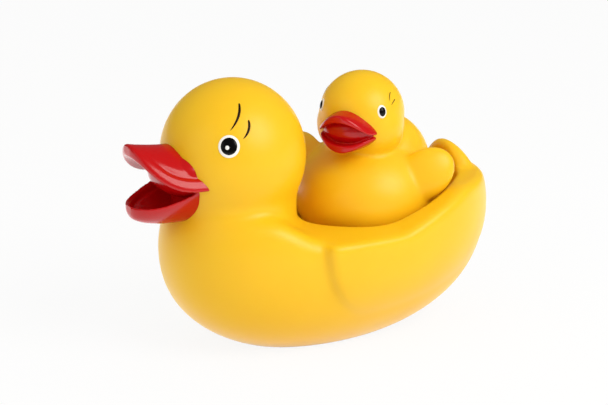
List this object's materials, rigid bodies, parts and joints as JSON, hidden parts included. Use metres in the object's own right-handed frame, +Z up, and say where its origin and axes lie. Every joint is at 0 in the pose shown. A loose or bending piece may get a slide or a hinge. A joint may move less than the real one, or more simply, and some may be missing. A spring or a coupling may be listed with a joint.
{
  "type": "bath duck with duckling",
  "caption": "Floating bath duck in hollow soft vinyl with an open nest in its back, where a loose duckling sits.",
  "frame": {"origin": "on the surface the duck stands on, under the middle of the toy's box", "axes": "+Z up, the duck looks along -Y, +X is its left side"},
  "size_m": [0.091, 0.1532, 0.1042],
  "materials": {
    "yellow_vinyl": "satin soft vinyl, moulded in colour",
    "duckling_vinyl": "satin soft vinyl, moulded in colour"
  },
  "bodies": {
    "root": {"mother_duck": "yellow_vinyl", "duckling": "duckling_vinyl"}
  },
  "joints": []
}
